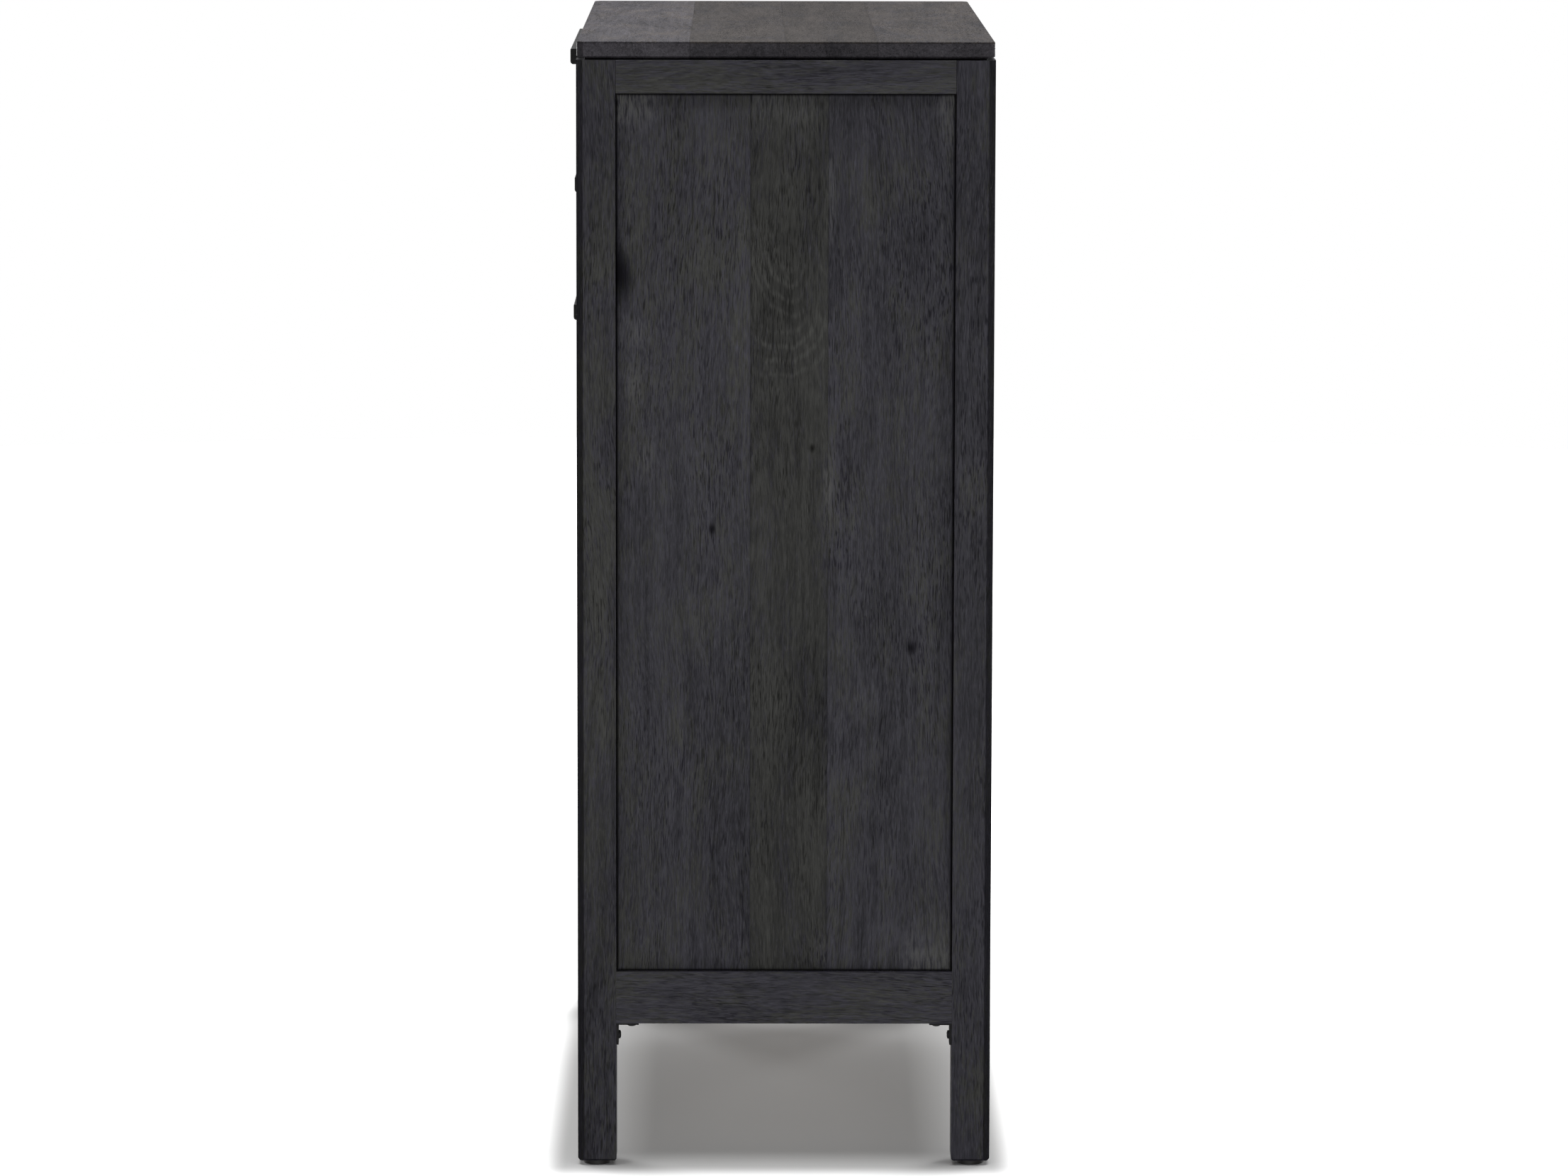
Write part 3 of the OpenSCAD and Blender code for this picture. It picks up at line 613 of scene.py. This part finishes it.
def dress_door(side, seed):
    door = f"{side}_door"
    dress(f"{door}_stiles", stained_wood(f"{door}_stiles", "Z", seed), ease=0.9)
    dress(f"{door}_rails", stained_wood(f"{door}_rails", "X", seed + 1), ease=0.7)
    lo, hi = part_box(f"{door}_panel")
    seams = at_fractions(lo.x, hi.x - lo.x, (0.36, 0.70))
    dress(f"{door}_panel", stained_wood(f"{door}_panel", "Z", seed + 2, seams=seams))
    dress(f"{door}_pull", IRON, ease=0.6)
    dress(f"{door}_hinge_leaves", IRON, ease=0.3)
    dress(f"{door}_strike", steel(f"{door}_strike", (0.55, 0.55, 0.56), 0.3), ease=0.3)


def dress_hardware():
    dress("corner_brackets", IRON, ease=0.5)
    dress("bracket_screws", IRON, ease=0.3)
    dress("post_hinge_leaves", IRON, ease=0.3)
    dress("hinge_pins", steel("pin_steel", (0.16, 0.16, 0.165), 0.35), ease=0.3)
    dress("foot_glides", plastic("glide_plastic", (0.022, 0.020, 0.019)), ease=0.8)
    dress("magnetic_catches", plastic("catch_plastic", (0.050, 0.035, 0.025)), ease=1.0)


# ------------------------------------------------------------------ shapes of the small pieces


def piece(name, bm, materials, body):
    """Turns a bmesh into an object that rides on a body."""
    bmesh.ops.recalc_face_normals(bm, faces=bm.faces)
    mesh = bpy.data.meshes.new(name)
    bm.to_mesh(mesh)
    bm.free()
    for poly in mesh.polygons:
        poly.use_smooth = True
    for material in materials:
        mesh.materials.append(material)
    o = bpy.data.objects.new(name, mesh)
    SCENE.collection.objects.link(o)
    edges = o.modifiers.new("split", "EDGE_SPLIT")
    edges.split_angle = math.radians(38.0)
    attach(o, body)
    return o


def facing(at, out, turn=0.0):
    """A frame at a point, with its Z along out and turned about it."""
    rot = Vector(out).to_track_quat("Z", "Y").to_matrix().to_4x4()
    return Matrix.Translation(at) @ rot @ Matrix.Rotation(turn, 4, "Z")


def ring_of(bm, where, radius, segments, height):
    """A ring of vertices. height(x, y) is how far each stands out."""
    row = []
    for k in range(segments):
        a = 2 * math.pi * k / segments
        x, y = radius * math.cos(a), radius * math.sin(a)
        row.append(bm.verts.new(where @ Vector((x, y, height(x, y)))))
    return row


def bridge(bm, ring, row):
    """Faces between two rings of as many vertices."""
    for k in range(len(ring)):
        j = (k + 1) % len(ring)
        bm.faces.new((ring[k], row[k], row[j], ring[j]))


def disc(bm, where, radius, rings, segments, height):
    """A round surface of rings evenly apart, which gives its outer ring."""
    middle = bm.verts.new(where @ Vector((0, 0, height(0.0, 0.0))))
    rows = [ring_of(bm, where, radius * (i + 1) / rings, segments, height) for i in range(rings)]
    for k in range(segments):
        bm.faces.new((middle, rows[0][k], rows[0][(k + 1) % segments]))
    for inner, outer in zip(rows, rows[1:]):
        bridge(bm, inner, outer)
    return rows[-1]


def tube(bm, where, ring, steps):
    """Carries an open ring down through (radius, height) steps and closes it."""
    for radius, level in steps:
        row = ring_of(bm, where, radius, len(ring), lambda x, y: level)
        bridge(bm, ring, row)
        ring = row
    bm.faces.new(ring)


def screw(bm, where, radius, rise, shank_r, shank_l, bulge=2.0, sink=0.0):
    """A cross-recess screw. Its head stands rise above the frame's origin and its shank goes down from it.

    bulge is how square the head's dome is, and a head with sink is countersunk from that depth."""
    rings, segments = 18, 64
    arm, web = 0.60 * radius, 0.125 * radius
    depth = min(0.34 * radius, 0.86 * rise)

    def in_recess(x, y):
        return (abs(x) < web and abs(y) < arm) or (abs(y) < web and abs(x) < arm)

    def height(x, y):
        r = math.hypot(x, y)
        dome = rise * (1.0 - 0.42 * (r / radius) ** bulge)
        return dome - (depth * (1.0 - 0.45 * r / arm) if in_recess(x, y) else 0.0)

    before = set(bm.faces)
    ring = disc(bm, where, radius, rings, segments, height)
    back = where.inverted()
    # the cross recess takes the second material, which on these screws is darker as painted shade
    for face in set(bm.faces) - before:
        mid = back @ face.calc_center_median()
        face.material_index = 1 if in_recess(mid.x, mid.y) else 0
    neck = -sink - (radius - shank_r) * 0.8 if sink else 0.0
    tube(bm, where, ring, [(radius, -sink), (shank_r, neck), (shank_r, -sink - shank_l * 0.8),
                           (shank_r * 0.15, -sink - shank_l)])


def pin_head(bm, where, radius, rise):
    """A small domed pin."""
    def height(x, y):
        return rise * math.sqrt(max(0.0, 1.0 - 0.96 * (x * x + y * y) / radius ** 2))

    tube(bm, where, disc(bm, where, radius, 5, 20, height), [(radius, 0.0), (radius * 0.5, -0.4 * MM)])


def card(bm, x0, x1, z0, z1, y, bow):
    """A paper card that bows out a little between its ends."""
    nx, nz = 12, 4
    thickness, clearance = 0.3 * MM, 0.08 * MM
    sheets = []
    for lift in (0.0, thickness):
        rows = []
        for i in range(nx + 1):
            x = x0 + (x1 - x0) * i / nx
            out = y - clearance - lift - bow * math.sin(math.pi * i / nx)
            rows.append([bm.verts.new((x, out, z0 + (z1 - z0) * k / nz)) for k in range(nz + 1)])
        sheets.append(rows)
    for rows in sheets:
        for i in range(nx):
            for k in range(nz):
                bm.faces.new((rows[i][k], rows[i + 1][k], rows[i + 1][k + 1], rows[i][k + 1]))
    rim = [(i, 0) for i in range(nx)] + [(nx, k) for k in range(nz)]
    rim += [(i, nz) for i in range(nx, 0, -1)] + [(0, k) for k in range(nz, 0, -1)]
    back, face = sheets
    for (i, k), (m, n) in zip(rim, rim[1:] + rim[:1]):
        bm.faces.new((back[i][k], back[m][n], face[m][n], face[i][k]))


def loose_boxes(node):
    """The box of each separate solid in a CAD node."""
    mesh = NODES[node].data
    root = list(range(len(mesh.vertices)))

    def find(i):
        while root[i] != i:
            root[i] = root[root[i]]
            i = root[i]
        return i

    spots = {}
    for v in mesh.vertices:
        key = tuple(round(c * 1e6) for c in v.co)
        root[find(v.index)] = find(spots.setdefault(key, v.index))
    for e in mesh.edges:
        root[find(e.vertices[0])] = find(e.vertices[1])
    groups = {}
    for v in mesh.vertices:
        groups.setdefault(find(v.index), []).append(v.co)
    boxes = []
    for points in groups.values():
        lo = Vector(min(p[i] for p in points) for i in range(3))
        hi = Vector(max(p[i] for p in points) for i in range(3))
        boxes.append((lo, hi))
    return sorted(boxes, key=lambda box: tuple(round(c, 5) for c in box[0]))


# ------------------------------------------------------------------ the small pieces

BRACKET_HEAD_H = 2.4 * MM
BRACKET_SHANK_R = 1.8 * MM
CARD_FRAME_W = 64 * MM
CARD_FRAME_RIM = 5 * MM
CARD_GAP = 0.3 * MM
CARD_BOW, CARD_BOW_STEP = 0.2 * MM, 0.08 * MM
PIN_R, PIN_RISE = 1.4 * MM, 0.6 * MM
HINGE_H = 50 * MM
DOOR_LEAF_T, POST_LEAF_T = 1.6 * MM, 1.2 * MM
# the screws of a hinge leaf: heights about its middle, and how far in they are on the door and the post
HINGE_SCREWS_Z = (-17.5 * MM, 0.0, 17.5 * MM)
DOOR_SCREWS_IN = (12.5 * MM, 7.2 * MM, 12.5 * MM)
POST_SCREWS_IN = 6 * MM
# head radius, head height, shank radius and shank length
DOOR_SCREW = (2.8 * MM, 0.36 * MM, 1.2 * MM, 12 * MM)
POST_SCREW = (2.4 * MM, 0.18 * MM, 1.1 * MM, 12 * MM)
HINGE_SCREW_SINK = 0.1 * MM


def make_bracket_screw_heads():
    """The pan-head screws of the corner brackets: one up into each rail, one sideways into each post."""
    bm = bmesh.new()
    for i, (lo, hi) in enumerate(loose_boxes("bracket_screws")):
        mid, size = (lo + hi) / 2, hi - lo
        if size.z > size.y:
            out, tip = Vector((0, 0, -1)), Vector((mid.x, mid.y, lo.z))
        elif mid.y < 0:
            out, tip = Vector((0, 1, 0)), Vector((mid.x, hi.y, mid.z))
        else:
            out, tip = Vector((0, -1, 0)), Vector((mid.x, lo.y, mid.z))
        shank = max(size.y, size.z) - BRACKET_HEAD_H
        where = facing(tip - BRACKET_HEAD_H * out, out, 0.4 + 1.1 * i)
        screw(bm, where, size.x / 2, BRACKET_HEAD_H, BRACKET_SHANK_R, shank, bulge=3.5)
    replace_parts(piece("bracket_screw_heads", bm, SCREW_IRON, "case"), "bracket_screws")


def make_cards(drawer, number):
    """A card and two pins in each of a drawer's four card frames."""
    lo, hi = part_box(f"{drawer}_card_frames")
    inset = CARD_FRAME_RIM + CARD_GAP
    cards, pins = bmesh.new(), bmesh.new()
    for i in range(4):
        x0 = lo.x + (hi.x - CARD_FRAME_W - lo.x) * i / 3
        x1 = x0 + CARD_FRAME_W
        bow = CARD_BOW + CARD_BOW_STEP * ((i + 2 * number) % 3)
        card(cards, x0 + inset, x1 - inset, lo.z + inset, hi.z - inset, hi.y, bow)
        for x in (x0 + CARD_FRAME_RIM / 2, x1 - CARD_FRAME_RIM / 2):
            pin_head(pins, facing((x, lo.y, (lo.z + hi.z) / 2), (0, -1, 0)), PIN_R, PIN_RISE)
    piece(f"{drawer}_cards", cards, (CARD_PAPER,), drawer)
    piece(f"{drawer}_frame_pins", pins, (BRASS,), drawer)


def make_hinge_screws(side, sign):
    """Three countersunk screws in each hinge leaf, on a door and on its post. sign is 1 on the right."""
    lo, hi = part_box(f"{side}_door_hinge_leaves")
    inner_x = lo.x if sign > 0 else hi.x
    door_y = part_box(f"{side}_door_stiles")[0].y - DOOR_LEAF_T
    post_x = sign * (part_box("front_right_post")[0].x - POST_LEAF_T)
    post_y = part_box("post_hinge_leaves")[1].y - POST_SCREWS_IN
    on_door, on_post = bmesh.new(), bmesh.new()
    for z in (lo.z + HINGE_H / 2, hi.z - HINGE_H / 2):
        for j, (dz, inwards) in enumerate(zip(HINGE_SCREWS_Z, DOOR_SCREWS_IN)):
            where = facing((inner_x + sign * inwards, door_y, z + dz), (0, -1, 0), 0.3 + 0.9 * j + z)
            screw(on_door, where, *DOOR_SCREW, sink=HINGE_SCREW_SINK)
            where = facing((post_x, post_y, z + dz), (-sign, 0, 0), 0.7 + 0.8 * j + z)
            screw(on_post, where, *POST_SCREW, sink=HINGE_SCREW_SINK)
    piece(f"{side}_door_hinge_screws", on_door, SCREW_IRON, f"{side}_door")
    piece(f"{side}_post_hinge_screws", on_post, SCREW_IRON, "case")


# ------------------------------------------------------------------ floor, light and camera

FLOOR_R = 6.0
# the floor's brightness as the cabinet's surroundings and as the camera sees it
FLOOR_BOUNCE, FLOOR_SEEN = 0.26, 0.39
# how far outside the cabinet's footprint, along X and along Y, the floor's painted shadow fades until the
# floor is seen as white
FLOOR_FADE = (0.080, 0.040)
# the world's light where it is dimmest and brightest, and the X of the directions between which it changes
WORLD_LOW, WORLD_HIGH = 0.06, 0.40
WORLD_FROM, WORLD_TO = 0.35, -0.95
WHITE = rgb(1.0, 1.0, 1.0)

# name, place, aim, size and watts of each softbox
SOFTBOXES = (
    ("overhead", (0.0, 0.0, 4.2), (0.0, 0.0, 0.0), (4.5, 4.5), 320.0),
    ("near_side", (5.2, 0.2, 2.6), (0.4, 0.0, 0.5), (3.2, 2.6), 14.0),
    ("near_low", (3.6, 0.0, 0.25), (0.4, 0.0, 0.15), (3.0, 0.8), 34.0),
    ("far_front", (-3.7, -3.4, 1.5), (0.0, 0.0, 0.6), (2.4, 2.4), 330.0),
    ("far_back", (-3.7, 3.4, 1.5), (0.0, 0.0, 0.6), (2.4, 2.4), 330.0),
)

CAMERA_AT = (6.9512, -0.0381, 1.4612)
CAMERA_PITCH, CAMERA_YAW, CAMERA_ROLL = 7.713, 0.372, 0.12  # degrees
CAMERA_LENS, CAMERA_SENSOR = 155.38, 36.0


def floor_material():
    """Pale and matt. To the camera it is lighter, and glows white away from the cabinet's footprint,
    which leaves a painted shadow under the cabinet, since only the camera sees the glow.
    """
    net = Net("floor")
    seen = net.node("ShaderNodeLightPath").outputs["Is Camera Ray"]
    shade = net.add(FLOOR_BOUNCE, net.mul(net.noise(net.obj, 3.0), 0.02))
    shade = net.add(shade, net.mul(seen, FLOOR_SEEN - FLOOR_BOUNCE))
    xyz = net.split(net.obj)
    lo, hi = CAD_BOX
    past = []
    for i, fade in enumerate(FLOOR_FADE):
        beyond = net.sub(net.math("ABSOLUTE", xyz[i]), (hi[i] - lo[i]) / 2)
        past.append(net.math("DIVIDE", net.math("MAXIMUM", beyond, 0.0), fade))
    # camera-only glow, which paints a soft shadow in the shape of the footprint
    painted_glow_round_shadow = net.mul(net.remap(net.length(*past), 0.0, 1.0), seen)
    net.set(Base_Color=net.join(shade, shade, shade), Emission_Strength=painted_glow_round_shadow, Emission_Color=WHITE,
            Roughness=1.0, Specular_IOR_Level=0.0)
    return net.mat


def stage_floor():
    mesh = bpy.data.meshes.new("floor")
    bm = bmesh.new()
    bmesh.ops.create_circle(bm, cap_ends=True, segments=128, radius=FLOOR_R)
    bm.to_mesh(mesh)
    bm.free()
    mesh.materials.append(floor_material())
    o = bpy.data.objects.new("floor", mesh)
    SCENE.collection.objects.link(o)


def softbox(name, at, aim, size, power):
    data = bpy.data.lights.new(name, "AREA")
    data.shape = "RECTANGLE"
    data.size, data.size_y = size
    data.energy = power
    o = bpy.data.objects.new(name, data)
    o.location = at
    o.rotation_euler = (Vector(aim) - Vector(at)).to_track_quat("-Z", "Y").to_euler()
    o.visible_camera = False
    SCENE.collection.objects.link(o)


def make_world():
    """White as seen. As light it is a dim studio, brightest behind the cabinet as the camera sees it."""
    world = bpy.data.worlds.new("studio")
    world.use_nodes = True
    tree = world.node_tree
    tree.nodes.clear()
    out = tree.nodes.new("ShaderNodeOutputWorld")
    mix = tree.nodes.new("ShaderNodeMixShader")
    seen = tree.nodes.new("ShaderNodeBackground")
    lit = tree.nodes.new("ShaderNodeBackground")
    path = tree.nodes.new("ShaderNodeLightPath")
    where = tree.nodes.new("ShaderNodeTexCoord")
    split = tree.nodes.new("ShaderNodeSeparateXYZ")
    behind = tree.nodes.new("ShaderNodeMapRange")
    behind.interpolation_type = "SMOOTHSTEP"
    for socket, value in zip(list(behind.inputs)[1:5], (WORLD_FROM, WORLD_TO, WORLD_LOW, WORLD_HIGH)):
        socket.default_value = value
    seen.inputs["Color"].default_value = WHITE
    seen.inputs["Strength"].default_value = 1.0
    lit.inputs["Color"].default_value = WHITE
    tree.links.new(where.outputs["Generated"], split.inputs[0])
    tree.links.new(split.outputs[0], behind.inputs[0])
    tree.links.new(behind.outputs[0], lit.inputs["Strength"])
    tree.links.new(path.outputs["Is Camera Ray"], mix.inputs[0])
    tree.links.new(lit.outputs[0], mix.inputs[1])
    tree.links.new(seen.outputs[0], mix.inputs[2])
    tree.links.new(mix.outputs[0], out.inputs[0])
    SCENE.world = world


def make_camera():
    """The photograph's view of the right side, a little above the top."""
    pitch, yaw, roll = map(math.radians, (CAMERA_PITCH, CAMERA_YAW, CAMERA_ROLL))
    forward = Vector((-math.cos(pitch) * math.cos(yaw), math.cos(pitch) * math.sin(yaw), -math.sin(pitch)))
    level = forward.cross(Vector((0, 0, 1))).normalized()
    upright = level.cross(forward)
    right = level * math.cos(roll) + upright * math.sin(roll)
    up = upright * math.cos(roll) - level * math.sin(roll)
    data = bpy.data.cameras.new("camera")
    data.sensor_width = CAMERA_SENSOR
    data.lens = CAMERA_LENS
    data.clip_start, data.clip_end = 0.1, 100.0
    o = bpy.data.objects.new("camera", data)
    o.matrix_world = Matrix.Translation(CAMERA_AT) @ Matrix((right, up, -forward)).transposed().to_4x4()
    SCENE.collection.objects.link(o)
    SCENE.camera = o


# ------------------------------------------------------------------ the cabinet

dress_posts()
dress_side("right", 6)
dress_side("left", 9)
dress_top()
dress_frame_rails_and_back()
dress_inside()
for number, drawer in enumerate(DRAWERS):
    dress_drawer(drawer, number)
dress_door("right", 71)
dress_door("left", 77)
dress_hardware()

make_bracket_screw_heads()
for number, drawer in enumerate(DRAWERS):
    make_cards(drawer, number)
make_hinge_screws("right", 1)
make_hinge_screws("left", -1)

stage_floor()
make_world()
for light in SOFTBOXES:
    softbox(*light)
make_camera()
SCENE.view_settings.view_transform = "Standard"
SCENE.view_settings.look = "None"
